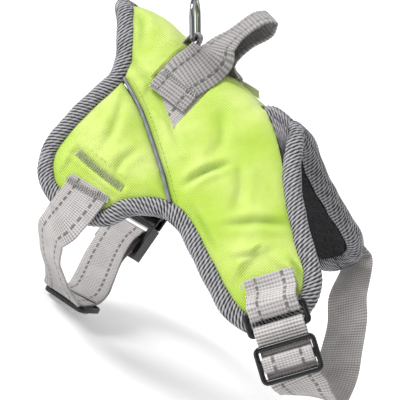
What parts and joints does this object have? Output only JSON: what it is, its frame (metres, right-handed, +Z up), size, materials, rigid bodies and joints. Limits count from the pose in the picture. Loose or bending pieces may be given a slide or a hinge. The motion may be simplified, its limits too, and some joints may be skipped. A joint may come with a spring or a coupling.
{
  "type": "dog harness",
  "caption": "Padded saddle harness for a small dog, with a ribbed bound edge, a ridge handle and leash ring, and webbing loops for the chest and the girth.",
  "frame": {"origin": "on the ridge of the saddle, above the spine, where the neck yoke meets the outer fabric", "axes": "+X towards the dog's head along the spine, +Y to the dog's left, +Z up"},
  "size_m": [0.2325, 0.1391, 0.1993],
  "materials": {
    "lime_oxford": "bright lime oxford weave, soft and matt",
    "padding": "closed foam, hidden between the fabric and the lining",
    "black_mesh": "black spacer mesh",
    "ribbed_tape": "grey elastic tape with diagonal ribs, light and near-black threads",
    "reflective_piping": "dark grey reflective piping",
    "webbing": "light grey nylon webbing with fine cross ribs and two rows of dark dashes",
    "black_plastic": "black acetal, half gloss",
    "chrome_wire": "bright plated wire",
    "white_label": "plain white woven label, left blank"
  },
  "bodies": {
    "harness": {"saddle_panel": "lime_oxford", "girth_panel_right": "lime_oxford", "girth_panel_left": "lime_oxford", "saddle_foam": "padding", "mesh_lining": "black_mesh", "neck_yoke": "ribbed_tape", "rear_binding": "ribbed_tape", "leg_binding_right": "ribbed_tape", "leg_binding_left": "ribbed_tape", "neck_binding": "ribbed_tape", "piping_right": "reflective_piping", "piping_left": "reflective_piping", "cross_strap": "webbing", "handle": "webbing", "d_ring_tab": "webbing", "size_label": "white_label", "chest_ring_tab": "webbing", "chest_strap": "webbing", "girth_strap": "webbing", "buckle_socket": "black_plastic", "buckle_tab": "webbing"},
    "leash_ring": {"d_ring": "chrome_wire"},
    "chest_link": {"chest_ring": "black_plastic"},
    "chest_adjuster": {"chest_slider": "black_plastic", "chest_slider_wrap": "webbing"},
    "girth_adjuster": {"girth_slider": "black_plastic", "girth_slider_wrap": "webbing"},
    "plug": {"buckle_plug": "black_plastic"},
    "prong_rear": {"buckle_prong_rear": "black_plastic"},
    "prong_front": {"buckle_prong_front": "black_plastic"}
  },
  "joints": [
    {"name": "leash_ring_swing", "type": "hinge", "parent": "harness", "child": "leash_ring", "pos_m": [-0.0535, 0, 0.007], "axis": [-0.2756, 0.9613, 0], "range_deg": [-38, 40]},
    {"name": "chest_link_tilt", "type": "hinge", "parent": "harness", "child": "chest_link", "pos_m": [0.0775, -0.04816, -0.06875], "axis": [0.5678, 0.2515, 0.7838], "range_deg": [-3, 3]},
    {"name": "chest_adjust", "type": "slide", "parent": "harness", "child": "chest_adjuster", "axis": [0.8098, 0, -0.5867], "range_m": [-0.001, 0.004]},
    {"name": "girth_adjust", "type": "slide", "parent": "harness", "child": "girth_adjuster", "axis": [0.225, 0.9744, 0], "range_m": [-0.003, 0.003]},
    {"name": "buckle_release", "type": "slide", "parent": "harness", "child": "plug", "axis": [0.1134, -0.3772, -0.9192], "range_m": [0, 0.017], "deforming": ["girth_strap"]},
    {"name": "prong_rear_press", "type": "hinge", "parent": "plug", "child": "prong_rear", "pos_m": [-0.05134, 0.05398, -0.10976], "axis": [0.2807, 0.8996, -0.3346], "range_deg": [0, 7], "stiffness_Nm_per_rad": 0.3},
    {"name": "prong_front_press", "type": "hinge", "parent": "plug", "child": "prong_front", "pos_m": [-0.03552, 0.05033, -0.10631], "axis": [-0.2807, -0.8996, 0.3346], "range_deg": [0, 7], "stiffness_Nm_per_rad": 0.3}
  ]
}
